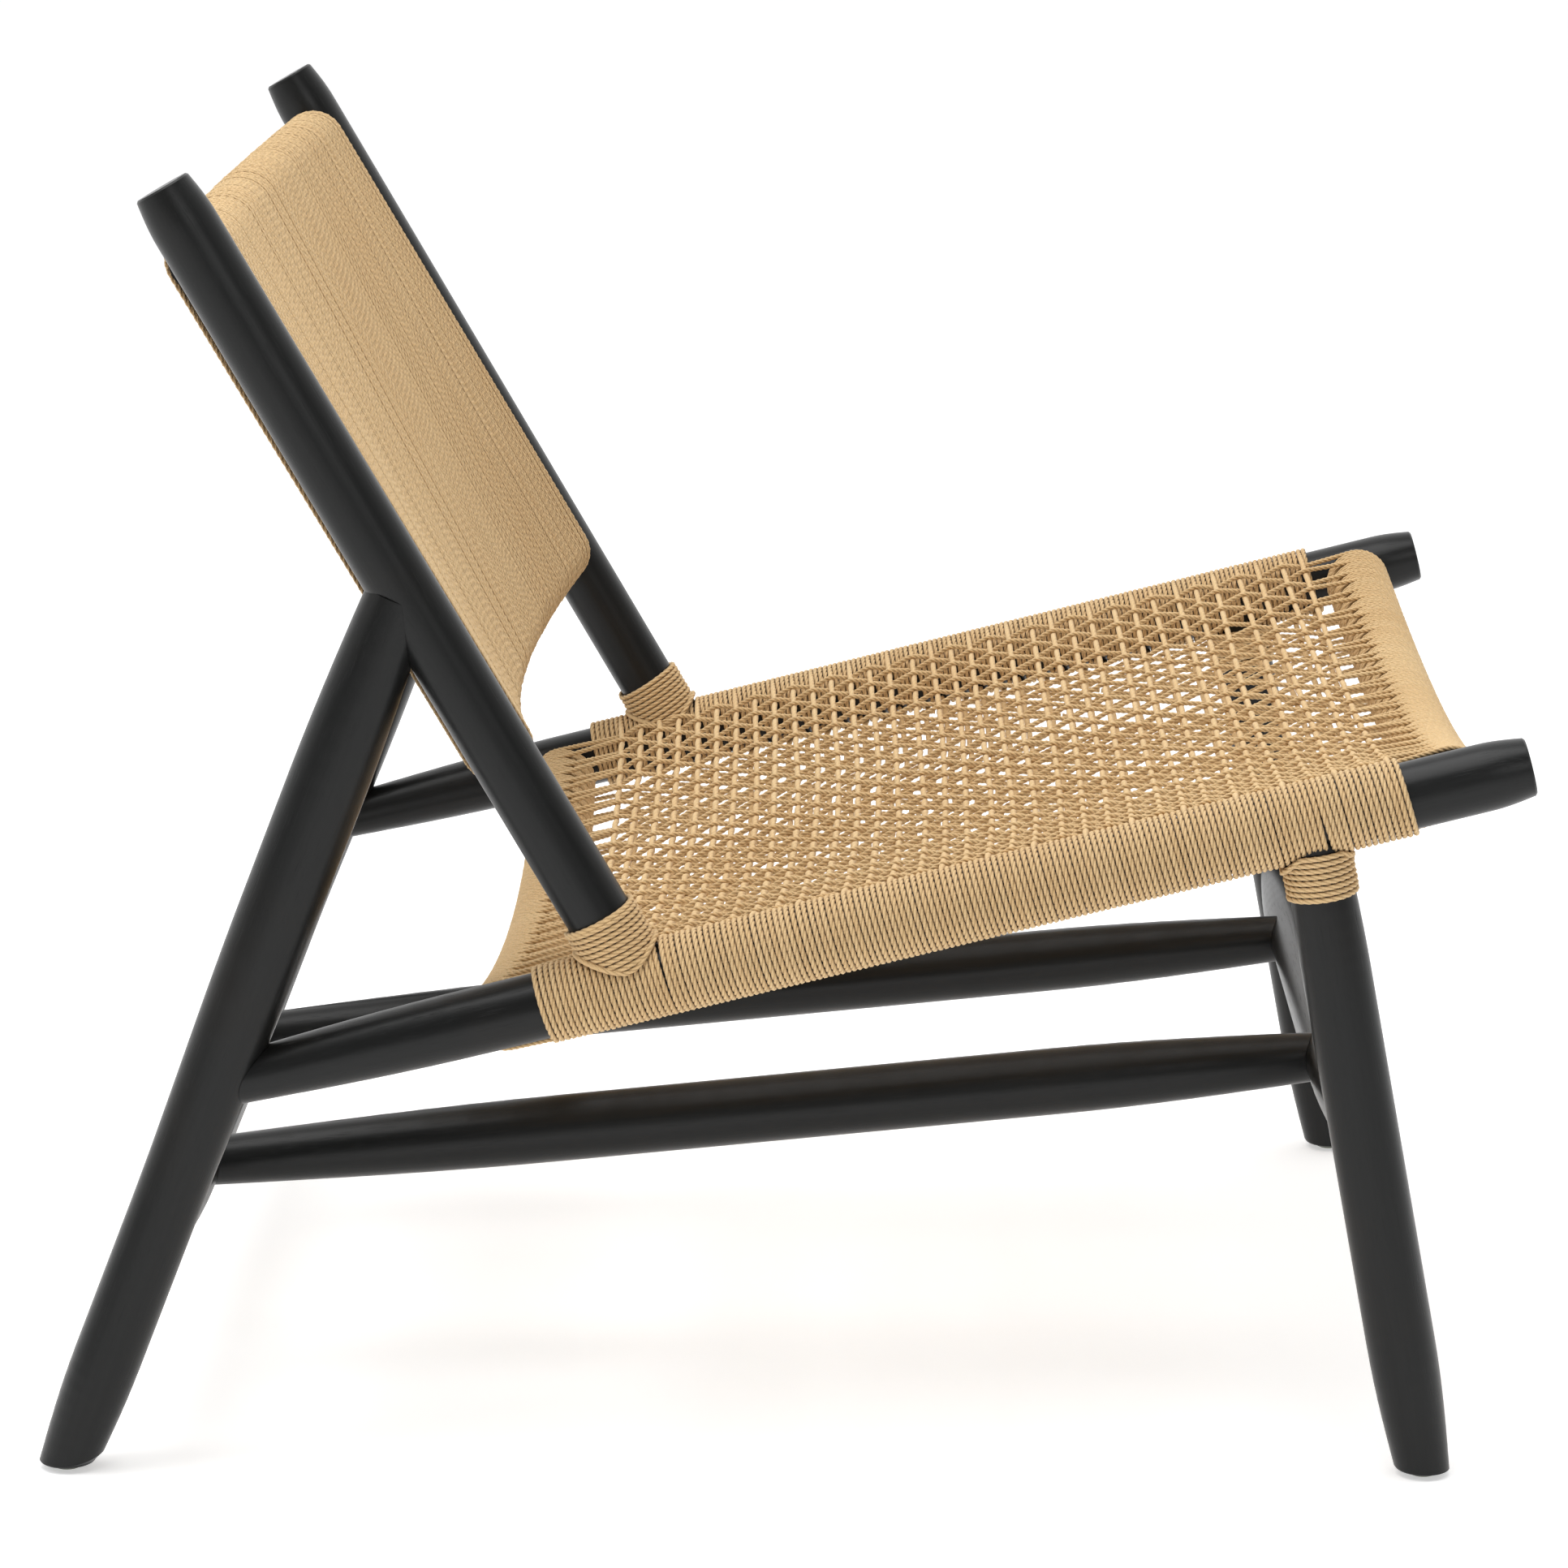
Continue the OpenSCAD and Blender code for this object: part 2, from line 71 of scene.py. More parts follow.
# ---- cord ----
CORD_R = 1.63
GAP = 0.15
WIND_R = RAIL_R + GAP + 1.6          # centre of the cord wound on a seat rail
CURVED_WIND_R = CURVED_R + GAP + 1.6  # the same on a curved rail
WARP_WIND_R = CURVED_WIND_R + 0.1
WEFT_WIND_R = WIND_R + 0.1
PITCH = 3.1                          # between turns on the curved rails
LAY_WOUND = 13.8                     # length of one full twist of a wound cord
LAY_WARP = 9.5
WARPS = 39
TURNS_PER_WARP = 5
WEFTS = 35
WARP_R = 1.6
BACK_R = 1.5
WEFT_R = 1.78
WARP_WAVE = 1.75
WEFT_WAVE = 1.2
SEAT_LIFT = 4.0
EDGE_LIFT = 1.8
WEFT_SLANT = 1.0


def dir2(lean):
    return np.array([math.sin(math.radians(lean)), math.cos(math.radians(lean))])


def cross2(a, b):
    return a[0] * b[1] - a[1] * b[0]


def reach(p, lean_p, q, lean_q):
    return cross2(q - p, dir2(lean_q)) / cross2(dir2(lean_p), dir2(lean_q))


RAIL_START = REAR_FOOT + dir2(REAR_LEAN) * RAIL_JOINT_Z / dir2(REAR_LEAN)[1]
POST_START = RAIL_START + dir2(RAIL_LEAN) * POST_STATION
LEG_STATION = reach(RAIL_START, RAIL_LEAN, FRONT_FOOT, FRONT_LEAN)
LEG_JOINT = RAIL_START + dir2(RAIL_LEAN) * LEG_STATION


def in_plane(x, origin, along, a, across, n):
    """Points at x, at distance a along and n across two leans of the side plane, in millimetres."""
    x, a, n = np.broadcast_arrays(*(np.asarray(v, float) for v in (x, a, n)))
    yz = origin + a[..., None] * dir2(along) + n[..., None] * dir2(across)
    return np.concatenate([x[..., None], yz], axis=-1)


def seat_point(x, s, h):
    return in_plane(x, RAIL_START, RAIL_LEAN, s, SEAT_SLOPE, h)


def back_point(x, a, n):
    return in_plane(x, POST_START, POST_LEAN, a, POST_LEAN - 90.0, n)


def vec3(lean):
    return np.array([0.0, *dir2(lean)])


X_AXIS = np.array([1.0, 0.0, 0.0])
RAIL_AXIS = vec3(RAIL_LEAN)


def dip(x, bow):
    radius = (BOW_HALF ** 2 + bow ** 2) / (2 * bow)
    return np.sqrt(radius ** 2 - np.clip(np.abs(x), 0, BOW_HALF) ** 2) - radius + bow


def rail_height(x, rail):
    """Height of a curved rail's centre line at x, across the plane of its ends."""
    return -rail["drop"] - dip(x, rail["bow"])


def layer_height(layer, x, s):
    """Middle surface of the seat's upper (1) or lower (-1) weave."""
    t = np.clip((s - SEAT_REAR["station"]) / (SEAT_FRONT["station"] - SEAT_REAR["station"]), 0, 1)
    ends = (1 - t) * rail_height(x, SEAT_REAR) + t * rail_height(x, SEAT_FRONT)
    middle = 4 * t * (1 - t)
    lift = SEAT_LIFT * middle * (1 - (np.asarray(x) / BOW_HALF) ** 2) + EDGE_LIFT * middle
    return ends + layer * WARP_WIND_R + lift


# ---- cord meshes ----
LOBE_ANGLES = np.radians([-60.0, -34.0, 0.0, 34.0])
LOBE_RADII = np.array([0.63, 0.90, 1.0, 0.90])
# painted shade on each lobe's vertices, full in the groove between two plies
LOBE_GROOVE_SHADE = np.array([1.0, 0.12, 0.0, 0.12])


class Cords:
    """Gathers twisted three-ply cords and makes one mesh of them."""

    def __init__(self):
        self.co, self.quads, self.shade, self.count = [], [], [], 0

    def add(self, path, hint, lay=LAY_WOUND, radius=CORD_R, depth=1.0, touch=0.0, closed=False):
        """Sweeps a cord along path, in millimetres. hint is a direction roughly square to it, towards the
        neighbouring cords; depth scales the grooves between the plies and their painted shade, and touch
        scales the painted shade where cords meet.
        """
        path = np.asarray(path, float)
        tangent = np.gradient(path, axis=0)
        tangent /= np.linalg.norm(tangent, axis=1)[:, None]
        hint = np.broadcast_to(hint, path.shape)
        side = hint - (hint * tangent).sum(1)[:, None] * tangent
        side /= np.linalg.norm(side, axis=1)[:, None]
        up = np.cross(tangent, side)
        length = np.concatenate([[0], np.cumsum(np.linalg.norm(np.diff(path, axis=0), axis=1))])
        phase, tone = rng.uniform(0, 1, 2)
        phase *= 2 * math.pi
        n = len(path)
        drift = np.interp(length, np.linspace(0, length[-1], 6), rng.normal(0, 0.5, 6))
        turn = 2 * math.pi * length / lay + phase + drift
        base = np.concatenate([LOBE_ANGLES + 2 * math.pi * k / 3 for k in range(3)])
        depth, touch, radius = (np.broadcast_to(v, n)[:, None] for v in (depth, touch, radius))
        around = (1 - depth * (1 - np.tile(LOBE_RADII, 3))) * radius
        m = len(base)
        size = np.ones(n)
        if not closed:
            size[0] = size[-1] = 0.25
        angle = turn[:, None] + base[None, :]
        ring = around * size[:, None]
        co = (path[:, None, :] + (ring * np.cos(angle))[..., None] * side[:, None, :]
              + (ring * np.sin(angle))[..., None] * up[:, None, :])
        i = np.arange(n - 1)[:, None] * m
        j = np.arange(m)[None, :]
        k = (j + 1) % m
        quads = np.stack([i + j, i + k, i + m + k, i + m + j], axis=-1).reshape(-1, 4)
        self.co.append(co.reshape(-1, 3) * MM)
        self.quads.append(quads + self.count)
        self.count += n * m
        # red is painted shade in the grooves between the plies, green the cord's own tone and blue painted shade
        # where it meets its neighbours
        shade = np.empty((n, m, 4), np.float32)
        shade[..., 0] = np.tile(LOBE_GROOVE_SHADE, 3) * depth
        shade[..., 1] = tone
        shade[..., 2] = touch * np.abs(np.cos(angle)) ** 5
        shade[..., 3] = 1.0
        self.shade.append(shade.reshape(-1, 4))

    def build(self, name, material, *nodes):
        co = np.concatenate(self.co).astype(np.float32)
        quads = np.concatenate(self.quads).astype(np.int32)
        mesh = bpy.data.meshes.new(name)
        mesh.vertices.add(len(co))
        mesh.vertices.foreach_set("co", co.ravel())
        mesh.loops.add(quads.size)
        mesh.loops.foreach_set("vertex_index", quads.ravel())
        mesh.polygons.add(len(quads))
        mesh.polygons.foreach_set("loop_start", np.arange(0, quads.size, 4, dtype=np.int32))
        mesh.update(calc_edges=True)
        mesh.shade_smooth()
        colour = mesh.color_attributes.new("cord", "FLOAT_COLOR", "POINT")
        colour.data.foreach_set("color", np.concatenate(self.shade).ravel())
        mesh.materials.append(material)
        piece = bpy.data.objects.new(name, mesh)
        bpy.context.scene.collection.objects.link(piece)
        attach(piece, "root")
        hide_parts(*nodes)
        return piece


def resample(path, step=1.2, soft=1.4):
    """Even spacing along a path, with its corners eased over about soft millimetres."""
    path = np.asarray(path, float)
    length = np.concatenate([[0], np.cumsum(np.linalg.norm(np.diff(path, axis=0), axis=1))])
    fine = 0.4
    at = np.linspace(0, length[-1], int(length[-1] / fine) + 2)
    dense = np.stack([np.interp(at, length, path[:, k]) for k in range(3)], axis=1)
    half = int(3 * soft / fine)
    weight = np.exp(-0.5 * (np.arange(-half, half + 1) * fine / soft) ** 2)
    weight /= weight.sum()
    padded = np.pad(dense, ((half, half), (0, 0)), mode="reflect", reflect_type="odd")
    smooth = np.stack([np.convolve(padded[:, k], weight, mode="valid") for k in range(3)], axis=1)
    keep = np.unique(np.round(np.linspace(0, len(smooth) - 1, int(length[-1] / step) + 2)).astype(int))
    return smooth[keep]


def wave(q):
    """A rounded zigzag that is +1 at even and -1 at odd whole numbers."""
    sharp = 0.93
    return np.arcsin(sharp * np.cos(math.pi * q)) / math.asin(sharp)


def wobble(count, size):
    """Slow random offsets of neighbouring cords."""
    raw = rng.normal(0, 1, count + 8)
    return size * np.convolve(raw, np.ones(4) / 2, mode="valid")[:count]


ARC_START, ARC_END = -40.0, 320.0


def arc(first, last, step=4.5):
    return np.linspace(first, last, max(3, int(abs(last - first) / step) + 1))


# ---- curved seat rails and the warp, the cords that run from front to back ----
turn_count = (WARPS - 1) * TURNS_PER_WARP + 1
turn_x = (np.arange(turn_count) - (turn_count - 1) / 2) * PITCH
warp_x = turn_x[::TURNS_PER_WARP]

side_turns = 150
side_pitch = (WRAP_FRONT - WRAP_REAR - 2 * CORD_R) / (side_turns - 1)
side_s = WRAP_REAR + CORD_R + np.arange(side_turns) * side_pitch
share = np.arange(WEFTS) / (WEFTS - 1)
weft_turn = np.round(6 + 142 * (0.94 * share + 0.06 * share ** 2)).astype(int)
weft_s = side_s[weft_turn]


def curved_turn(rail, inward, x, alpha, radius=CURVED_WIND_R):
    """Points on a turn round a curved seat rail. 0 degrees is the side facing the seat, 90 the top."""
    a = np.radians(alpha)
    at = x + PITCH * (alpha - 90.0) / 360.0
    s = rail["station"] + inward * radius * np.cos(a)
    return seat_point(at, s, rail_height(at, rail) + radius * np.sin(a))


def side_turn(side, s, alpha, radius=WIND_R):
    """Points on a turn round a side rail. 0 degrees faces the seat, 90 is the top."""
    a = np.radians(alpha)
    lean = WEFT_SLANT * (1 - np.cos(np.radians(alpha - 90.0))) / 2
    at = s + side_pitch * (alpha - 90.0) / 360.0 + lean + splay(s, alpha)
    return seat_point(side * (SIDE_X - radius * np.cos(a)), at, radius * np.sin(a))


def splay(s, alpha):
    """How far turns spread round the post on top of a rail and round the leg below it."""
    a = np.sin(np.radians(alpha))
    out = 0.0
    for station, level, push in ((POST_STATION + 14.0, a, 0.45), (LEG_STATION + 3.0, -a, 0.8)):
        d = s - station
        near = np.clip(1 - abs(d) / 9.0, 0, 1)
        out = out + np.sign(d) * push * near * np.clip(level + 0.5, 0, 1.5)
    return out


def leaving(away, height, radius):
    """Angle at which a straight cord from a point touches the upper side of a winding."""
    far = math.hypot(away, height)
    return math.degrees(math.atan2(height, away) + math.acos(min(1.0, radius / far)))


warp = Cords()
warp_drift = wobble(WARPS, 0.35)
for i, x in enumerate(warp_x):
    runs = []
    for layer in (1, -1):
        s = np.arange(weft_s[0], weft_s[-1], 1.0)
        q = np.interp(s, weft_s, np.arange(WEFTS))
        bell = np.sin(math.pi * q / (WEFTS - 1))
        sway = (warp_drift[i] + 0.45 * np.sin(s / 47.0 + rng.uniform(0, 6.3))) * bell
        h = layer_height(layer, x, s) - WARP_WAVE * wave(q + i)
        runs.append((s, h, seat_point(x + sway, s, h)))
    (s, h, top), (_, low_h, low) = runs
    ends = []
    for rail, inward, k in ((SEAT_FRONT, -1, -1), (SEAT_REAR, 1, 0)):
        away = inward * (s[k] - rail["station"])
        centre = float(rail_height(x, rail))
        first = leaving(away, h[k] - centre, WARP_WIND_R)
        last = 360.0 - leaving(away, centre - low_h[k], WARP_WIND_R)
        ends.append(curved_turn(rail, inward, x, arc(first, last), WARP_WIND_R))
    half = len(low) // 2 + int(rng.integers(-90, 90))
    loop = np.concatenate([low[:half][::-1], ends[1][::-1], top, ends[0], low[half:][::-1]])
    warp.add(resample(loop, 0.95), X_AXIS, LAY_WARP, WARP_R, 1.25, closed=True)

# ---- the weft, the cords that run from side to side ----
weft = Cords()
for j, s0 in enumerate(weft_s):
    x = np.arange(warp_x[0], warp_x[-1] + 0.5, 1.0)
    q = (x - warp_x[0]) / (TURNS_PER_WARP * PITCH)
    bell = np.sin(math.pi * q / (WARPS - 1))
    runs = []
    for layer in (1, -1):
        s = s0 + bell * (1.1 * np.sin(x / 120.0 + rng.uniform(0, 6.3)) + rng.normal(0, 0.5))
        h = layer_height(layer, x, s) + WEFT_WAVE * wave(q + j)
        runs.append((h, seat_point(x, s, h)))
    (h, top), (low_h, low) = runs
    ends = []
    for side, k in ((1, -1), (-1, 0)):
        away = SIDE_X - abs(x[k])
        first = leaving(away, h[k], WEFT_WIND_R)
        last = 360.0 - leaving(away, -low_h[k], WEFT_WIND_R)
        ends.append(side_turn(side, s0, arc(first, last), WEFT_WIND_R))
    half = len(low) // 2 + int(rng.integers(-90, 90))
    loop = np.concatenate([low[:half][::-1], ends[1][::-1], top, ends[0], low[half:][::-1]])
    path = resample(loop, 1.3)
    wound = np.clip((np.abs(path[:, 0]) - 300.0) / 12.0, 0, 1)
    radius = WEFT_R + (CORD_R - WEFT_R) * wound
    weft.add(path, RAIL_AXIS, LAY_WOUND, radius, 0.5 + 0.5 * wound, 0.6 * wound, closed=True)

# ---- turns wound on the rails between them ----
front_turns, rear_turns = Cords(), Cords()
for cords, rail, inward in ((rear_turns, SEAT_REAR, 1), (front_turns, SEAT_FRONT, -1)):
    jitter = wobble(turn_count, 0.1)
    for m, x in enumerate(turn_x):
        if m % TURNS_PER_WARP:
            cords.add(curved_turn(rail, inward, x + jitter[m], arc(ARC_START, ARC_END)), X_AXIS, touch=0.6)

side_cords = {-1: Cords(), 1: Cords()}
for side, cords in side_cords.items():
    jitter = wobble(side_turns, 0.1)
    for m, s in enumerate(side_s):
        if m not in weft_turn:
            cords.add(side_turn(side, s + jitter[m], arc(ARC_START, ARC_END)), RAIL_AXIS, touch=0.6)

# ---- the back: loops round both back rails ----
back = Cords()
loop_x = turn_x + wobble(turn_count, 0.16)
splits = rng.integers(8, turn_count - 8, 7)
for m, x in enumerate(loop_x):
    proud = rng.normal(0, 0.16)
    x = x + sum(0.32 * np.sign(m - k + 0.5) * max(0.0, 1 - abs(m - k + 0.5) / 3.5) for k in splits)
    low = float(rail_height(x, BACK_BOTTOM))
    high = float(rail_height(x, BACK_TOP))
    a0, a1 = BACK_BOTTOM["station"], BACK_TOP["station"]
    tilt = math.degrees(math.atan2(high - low, a1 - a0))
    r = CURVED_WIND_R + proud
    beta = np.radians(arc(-90.0 + tilt, 90.0 + tilt))
    top = np.stack([a1 + r * np.cos(beta), high + r * np.sin(beta)], axis=1)
    bottom = np.stack([a0 - r * np.cos(beta), low - r * np.sin(beta)], axis=1)
    outline = np.concatenate([top[::-1], bottom[::-1], top[-1:]])
    middle = len(top) // 2
    outline = np.concatenate([outline[middle:-1], outline[:middle + 1]])
    span = np.concatenate([[0], np.cumsum(np.linalg.norm(np.diff(outline, axis=0), axis=1))])
    at = np.linspace(0, span[-1], int(span[-1] / 1.9))
    a = np.interp(at, span, outline[:, 0])
    n = np.interp(at, span, outline[:, 1])
    sway = 0.1 * np.sin(a / 37.0 + rng.uniform(0, 6.3))
    front_share = (n - low - (high - low) * (a - a0) / (a1 - a0)) / (2 * r)
    back.add(back_point(x + sway - PITCH / 2 * front_share, a, n), X_AXIS, LAY_WOUND, BACK_R, 1.45, 1.0, closed=True)


# ---- collars: one long winding each round the foot of a post and the top of a leg ----
def on_rail(a, radius, tilt, cover):
    """Height at which a winding round a stick touches the windings of the rail it stands on."""
    room = np.clip(cover ** 2 - (radius * np.sin(a)) ** 2, 0, None)
    return np.sqrt(room) / math.cos(tilt) - radius * np.cos(a) * math.tan(tilt)


def collar(side, start, lean, way, radius, tilt, top, step, turns):
    """way is 1 for a stick that stands on the rail and -1 for one that hangs below it."""
    angle = np.arange(0.0, 360.0 * turns, 5.0)
    a = np.radians(angle + 180.0)
    flat = np.minimum(top, top + step * (0.6 - angle / 360.0))
    rest = on_rail(a, radius, tilt, WIND_R + CORD_R + 1.0)
    pressed = np.clip(rest - flat, 0, 6.0)
    ring = radius + 0.28 * pressed + 0.12 * np.sin(a * 0.73)
    level = np.where(pressed > 0, rest + 0.2 * pressed, flat) + 0.3 * np.sin(a + side) + 0.2 * np.sin(2 * a)
    x = side * (SIDE_X - ring * np.sin(a) * way)
    path = in_plane(x, start, lean, way * level, lean - 90.0, ring * np.cos(a))
    cords = Cords()
    cords.add(resample(path, 1.3, 1.0), vec3(lean), touch=0.5)
    return cords


def both_sides(*settings):
    return {side: collar(side, *settings) for side in (-1, 1)}


post_collars = both_sides(POST_START, POST_LEAN, 1, POST_R + GAP + CORD_R, math.radians(POST_LEAN - SEAT_SLOPE),
                          POST_COLLAR_TOP - CORD_R, 3.12, 11)
leg_collars = both_sides(LEG_JOINT, FRONT_LEAN, -1, LEG_TOP_R + 0.6 + CORD_R, math.radians(SEAT_SLOPE - FRONT_LEAN),
                         LEG_COLLAR_BOTTOM - CORD_R + 1.0, 3.2, 8)


# ---- materials ----
def node_tree(name):
    material = bpy.data.materials.new(name)
    material.use_nodes = True
    tree = material.node_tree
    return material, tree, tree.nodes["Principled BSDF"]


def add(tree, kind, **settings):
    node = tree.nodes.new(kind)
    for key, value in settings.items():
        setattr(node, key, value)
    return node


def noise(tree, vector, scale, detail=3.0, roughness=0.5):
    node = add(tree, "ShaderNodeTexNoise")
    node.inputs["Scale"].default_value = scale
    node.inputs["Detail"].default_value = detail
    node.inputs["Roughness"].default_value = roughness
    tree.links.new(vector, node.inputs["Vector"])
    return node.outputs["Fac"]


def ramp(tree, value, low, high, start=0.0, end=1.0):
    node = add(tree, "ShaderNodeMapRange")
    for key, number in (("From Min", start), ("From Max", end), ("To Min", low), ("To Max", high)):
        node.inputs[key].default_value = number
    tree.links.new(value, node.inputs["Value"])
    return node.outputs["Result"]


def mix_colour(tree, factor, a, b, kind="MIX"):
    node = add(tree, "ShaderNodeMix", data_type="RGBA", blend_type=kind)
    for value, socket in ((factor, 0), (a, 6), (b, 7)):
        if isinstance(value, bpy.types.NodeSocket):
            tree.links.new(value, node.inputs[socket])
        else:
            node.inputs[socket].default_value = value if socket == 0 else (*value, 1.0)
    return node.outputs[2]


def maths(tree, kind, a, b):
    node = add(tree, "ShaderNodeMath", operation=kind)
    for k, value in enumerate((a, b)):
        if isinstance(value, bpy.types.NodeSocket):
            tree.links.new(value, node.inputs[k])
        else:
            node.inputs[k].default_value = value
    return node.outputs[0]


def bump(tree, bsdf, height, distance, strength=1.0):
    node = add(tree, "ShaderNodeBump")
    node.inputs["Distance"].default_value = distance
    node.inputs["Strength"].default_value = strength
    tree.links.new(height, node.inputs["Height"])
    tree.links.new(node.outputs["Normal"], bsdf.inputs["Normal"])


def cord_material():
    material, tree, bsdf = node_tree("paper_cord_twisted")
    where = add(tree, "ShaderNodeTexCoord").outputs["Object"]
    shade = add(tree, "ShaderNodeAttribute", attribute_name="cord")
    parts = add(tree, "ShaderNodeSeparateColor")
    tree.links.new(shade.outputs["Color"], parts.inputs["Color"])
    tone = maths(tree, "ADD", ramp(tree, parts.outputs["Green"], -0.22, 0.22),
                 noise(tree, where, 9.0, 2.0))
    body = mix_colour(tree, tone, (0.70, 0.47, 0.225), (0.80, 0.585, 0.315))
    fibre = noise(tree, where, 1500.0, 3.0, 0.6)
    body = mix_colour(tree, ramp(tree, fibre, 0.0, 0.28, 0.35, 0.75), body, (0.56, 0.36, 0.165))
    # painted shade darkens the grooves between the plies
    groove_shade = maths(tree, "POWER", parts.outputs["Red"], 1.6)
    body = mix_colour(tree, ramp(tree, groove_shade, 0.0, 0.62), body, (0.26, 0.145, 0.06))
    # painted shade on the sides where a cord meets its neighbours
    body = mix_colour(tree, parts.outputs["Blue"], body, (0.20, 0.11, 0.045))
    tree.links.new(body, bsdf.inputs["Base Color"])
    tree.links.new(ramp(tree, fibre, 0.6, 0.85), bsdf.inputs["Roughness"])
    bsdf.inputs["Specular IOR Level"].default_value = 0.32
    bsdf.inputs["Sheen Weight"].default_value = 0.12
    bsdf.inputs["Sheen Roughness"].default_value = 0.5
    bump(tree, bsdf, fibre, 0.00025, 0.5)
    return material


def wood_material(name, axis, base=(0.0060, 0.0063, 0.0062), rub=(0.017, 0.013, 0.010)):
    """Satin black stain over fine open grain that runs along axis."""
    material, tree, bsdf = node_tree(name)
    where = add(tree, "ShaderNodeTexCoord").outputs["Object"]
    turn = add(tree, "ShaderNodeMapping", vector_type="TEXTURE")
    turn.inputs["Rotation"].default_value = Vector(axis).to_track_quat("Z", "Y").to_euler()
    tree.links.new(where, turn.inputs["Vector"])

    def stretched(across, along):
        squash = add(tree, "ShaderNodeMapping")
        squash.inputs["Scale"].default_value = (across, across, along)
        tree.links.new(turn.outputs["Vector"], squash.inputs["Vector"])
        return squash.outputs["Vector"]

    pores = noise(tree, stretched(1900.0, 55.0), 1.0, 2.0, 0.55)
    figure = noise(tree, stretched(160.0, 5.0), 1.0, 4.0, 0.6)
    cloud = noise(tree, where, 11.0, 3.0)
    colour = mix_colour(tree, ramp(tree, figure, 0.0, 1.0, 0.35, 0.7), base, tuple(1.5 * c for c in base))
    colour = mix_colour(tree, ramp(tree, cloud, 0.0, 0.3, 0.55, 0.8), colour, rub)
    open_pore = ramp(tree, pores, 0.0, 1.0, 0.60, 0.74)
    colour = mix_colour(tree, maths(tree, "MULTIPLY", open_pore, 0.55), colour, (0.006, 0.006, 0.006))
    tree.links.new(colour, bsdf.inputs["Base Color"])
    rough = maths(tree, "ADD", ramp(tree, figure, 0.27, 0.37), ramp(tree, open_pore, 0.0, 0.15))
    tree.links.new(rough, bsdf.inputs["Roughness"])
    bsdf.inputs["Specular IOR Level"].default_value = 0.25
    height = maths(tree, "SUBTRACT", maths(tree, "MULTIPLY", figure, 0.25), open_pore)
    bump(tree, bsdf, height, 0.00006, 0.6)
    return material


def speckled(name, base, dark, roughness, metallic=0.0, scale=700.0):
    material, tree, bsdf = node_tree(name)
    where = add(tree, "ShaderNodeTexCoord").outputs["Object"]
    grain = noise(tree, where, scale, 3.0)
    tree.links.new(mix_colour(tree, ramp(tree, grain, 0.0, 1.0, 0.3, 0.7), base, dark), bsdf.inputs["Base Color"])
    tree.links.new(ramp(tree, grain, roughness - 0.08, roughness + 0.08), bsdf.inputs["Roughness"])
    bsdf.inputs["Metallic"].default_value = metallic
    bump(tree, bsdf, grain, 0.00005, 0.5)
    return material


cord = cord_material()
long_lean = math.degrees(math.atan2(
    *((FRONT_FOOT + dir2(FRONT_LEAN) * FRONT_STRETCHER_Z / dir2(FRONT_LEAN)[1])
      - (REAR_FOOT + dir2(REAR_LEAN) * REAR_STRETCHER_Z / dir2(REAR_LEAN)[1]))))
woods = {
    "rear_leg": wood_material("black_wood_rear_leg", vec3(REAR_LEAN)),
    "front_leg": wood_material("black_wood_front_leg", vec3(FRONT_LEAN)),
    "back_post": wood_material("black_wood_back_post", vec3(POST_LEAN)),
    "seat_rail": wood_material("black_wood_seat_rail", RAIL_AXIS),
    "long_stretcher": wood_material("black_wood_long_stretcher", vec3(long_lean)),
    "front_stretcher": wood_material("black_wood_cross", X_AXIS),
}
for name in ("rear_stretcher", "seat_front_rail", "seat_rear_rail", "back_top_rail", "back_bottom_rail"):
    woods[name] = woods["front_stretcher"]
glide_plastic = speckled("glide_grey_plastic", (0.24, 0.25, 0.20), (0.18, 0.19, 0.15), 0.5)
dowel_wood = speckled("dowel_bare_wood", (0.62, 0.46, 0.28), (0.50, 0.35, 0.19), 0.6)
brad_steel = speckled("brad_bright_wire", (0.60, 0.60, 0.60), (0.48, 0.48, 0.48), 0.35, 1.0)


def dress(node, material):
    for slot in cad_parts[node].material_slots:
        slot.material = material


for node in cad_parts:
    stem = node.removesuffix("_right").removesuffix("_left")
    if stem in woods:
        dress(node, woods[stem])
    elif node.startswith("glide"):
        dress(node, glide_plastic)
    elif node.startswith("leg_dowel"):
        dress(node, dowel_wood)
    elif node == "cord_brads":
        dress(node, brad_steel)

# ---- cord pieces ----
warp.build("seat_warp_cords", cord, "seat_weave")
weft.build("seat_weft_cords", cord, "seat_weave")
front_turns.build("seat_front_windings", cord, "seat_front_wrap")
rear_turns.build("seat_rear_windings", cord, "seat_rear_wrap")
back.build("back_cord_loops", cord, "back_top_wrap", "back_bottom_wrap", "back_front_strands", "back_rear_strands")
for side, word in ((-1, "right"), (1, "left")):
    side_cords[side].build(f"side_rail_windings_{word}", cord, f"side_rail_wrap_{word}")
    post_collars[side].build(f"post_collar_cords_{word}", cord, f"post_collar_{word}")
    leg_collars[side].build(f"leg_collar_cords_{word}", cord, f"leg_collar_{word}")


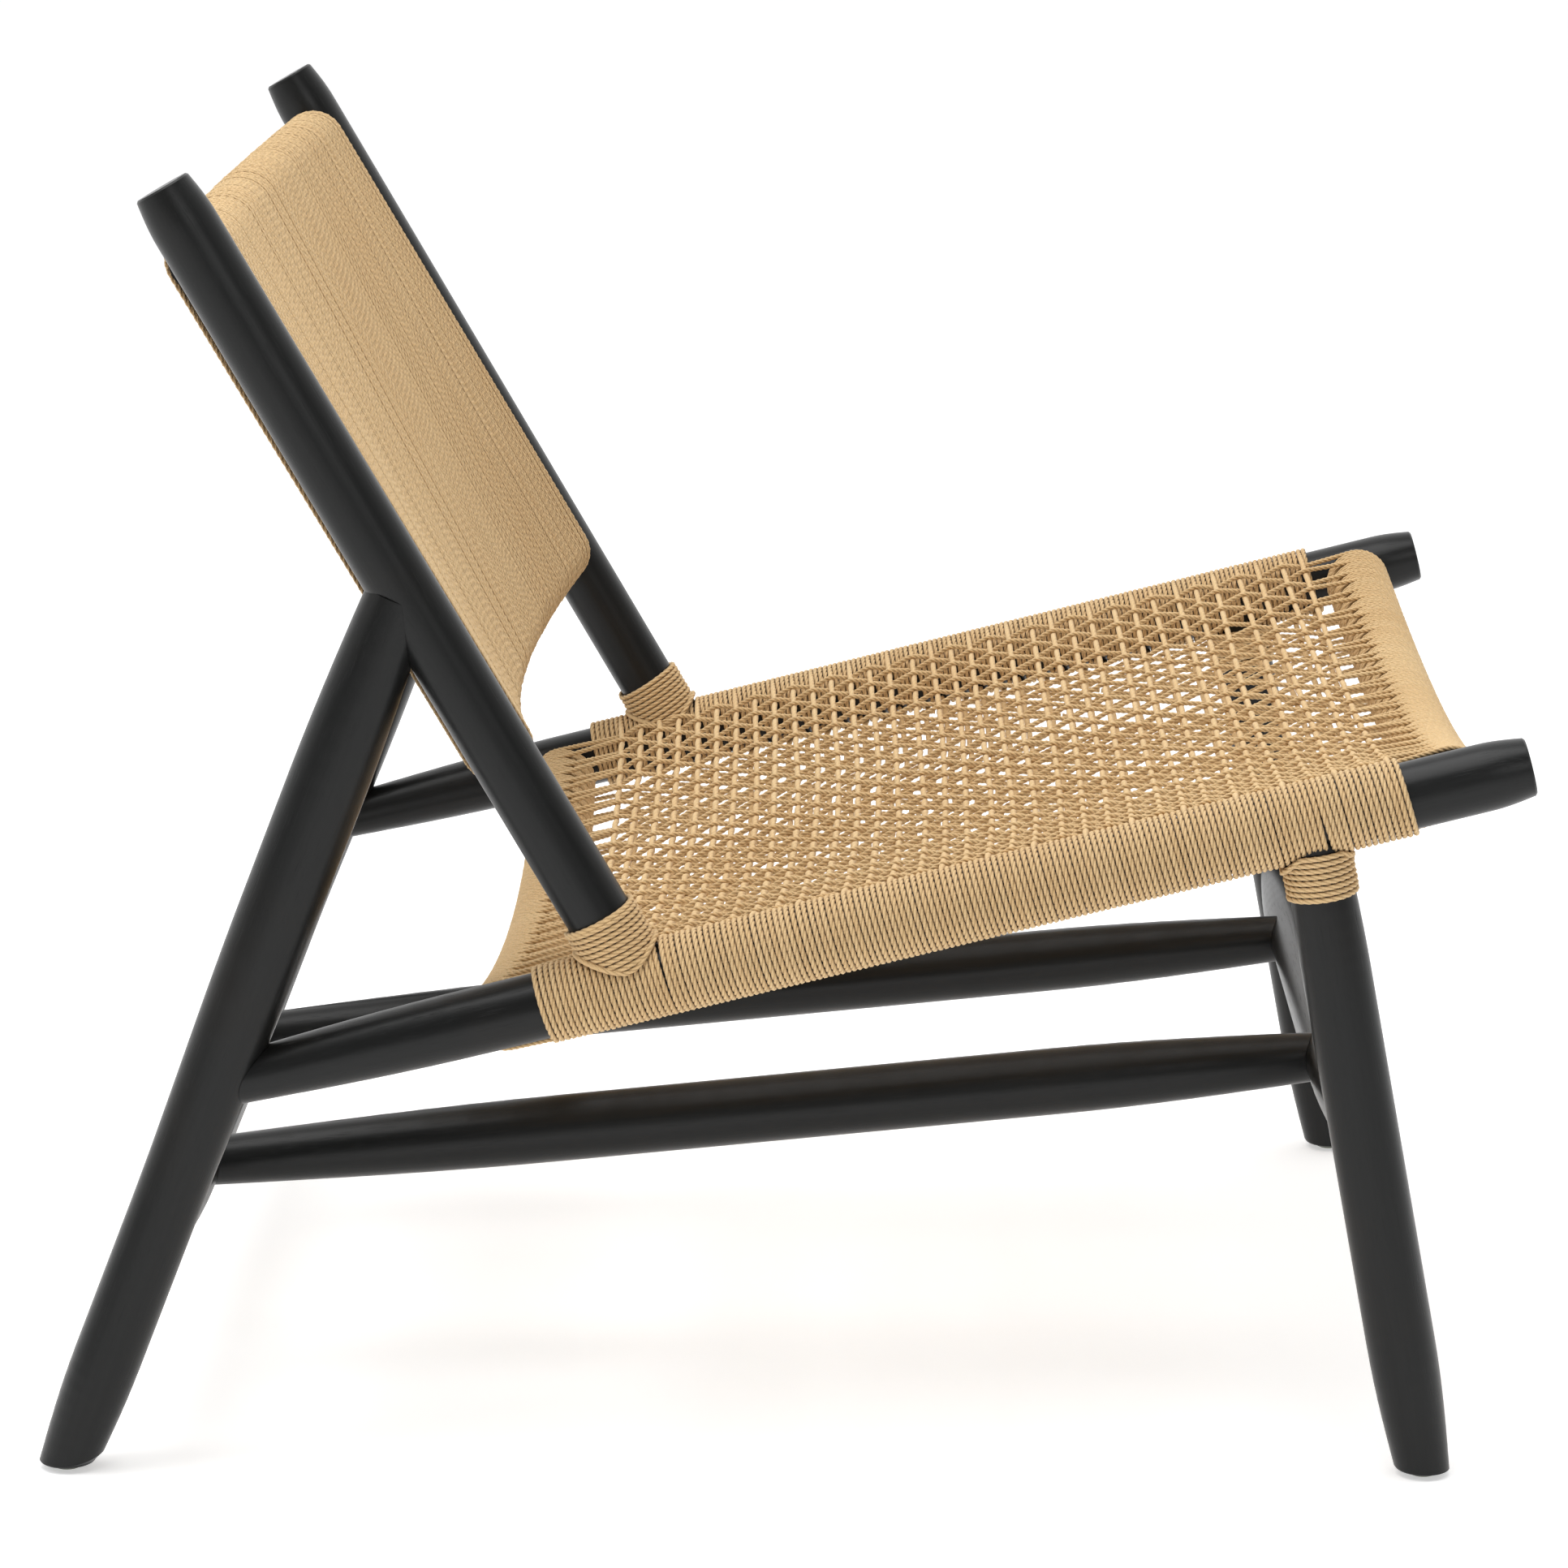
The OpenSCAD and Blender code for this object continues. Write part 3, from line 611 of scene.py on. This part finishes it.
# ---- stage, light and camera ----
def floor():
    mesh = bpy.data.meshes.new("studio_floor")
    half = 40.0
    mesh.from_pydata([(-half, -half, 0), (half, -half, 0), (half, half, 0), (-half, half, 0)], [], [(0, 1, 2, 3)])
    material, tree, bsdf = node_tree("floor_pale")
    bsdf.inputs["Base Color"].default_value = (0.80, 0.80, 0.80, 1.0)
    bsdf.inputs["Roughness"].default_value = 0.9
    bsdf.inputs["Specular IOR Level"].default_value = 0.0
    bsdf.inputs["Emission Color"].default_value = (1.0, 1.0, 1.0, 1.0)
    bsdf.inputs["Emission Strength"].default_value = 0.45
    mesh.materials.append(material)
    piece = bpy.data.objects.new("studio_floor", mesh)
    bpy.context.scene.collection.objects.link(piece)


def area(name, place, target, size, power, colour=(1.0, 1.0, 1.0)):
    light = bpy.data.lights.new(name, "AREA")
    light.shape = "RECTANGLE"
    light.size, light.size_y = size
    light.energy = power
    light.color = colour
    lamp = bpy.data.objects.new(name, light)
    lamp.location = place
    lamp.rotation_euler = (Vector(target) - Vector(place)).to_track_quat("-Z", "Y").to_euler()
    bpy.context.scene.collection.objects.link(lamp)


def studio():
    world = bpy.data.worlds.new("studio_world")
    world.use_nodes = True
    tree = world.node_tree
    background = tree.nodes["Background"]
    where = add(tree, "ShaderNodeTexCoord").outputs["Generated"]
    parts = add(tree, "ShaderNodeSeparateXYZ")
    tree.links.new(where, parts.inputs[0])
    behind = ramp(tree, parts.outputs[0], 0.26, 1.25, -0.4, 0.6)
    tree.links.new(behind, background.inputs["Strength"])
    background.inputs["Color"].default_value = (1.0, 1.0, 1.0, 1.0)
    bpy.context.scene.world = world
    area("key_overhead", (-0.5, 0.4, 3.0), (0.0, 0.0, 0.3), (2.4, 2.4), 60.0)
    area("key_rear", (-1.2, 3.0, 2.4), (0.0, 0.0, 0.4), (1.6, 1.6), 24.0)
    area("fill_camera_side", (-3.6, -1.6, 2.2), (0.0, 0.0, 0.3), (2.0, 1.6), 20.0)


def camera():
    pitch, yaw = math.radians(12.496), math.radians(0.909)
    data = bpy.data.cameras.new("photo_camera")
    data.sensor_width = 36.0
    data.lens = 36.0 * 6800 / 1932
    data.clip_end = 200.0
    eye = bpy.data.objects.new("photo_camera", data)
    eye.location = (-3.1454, -0.0489, 1.0067)
    ahead = Vector((math.cos(pitch) * math.cos(yaw), math.cos(pitch) * math.sin(yaw), -math.sin(pitch)))
    eye.rotation_euler = ahead.to_track_quat("-Z", "Y").to_euler()
    bpy.context.scene.collection.objects.link(eye)
    bpy.context.scene.camera = eye


floor()
studio()
camera()
bpy.context.scene.view_settings.view_transform = "Standard"
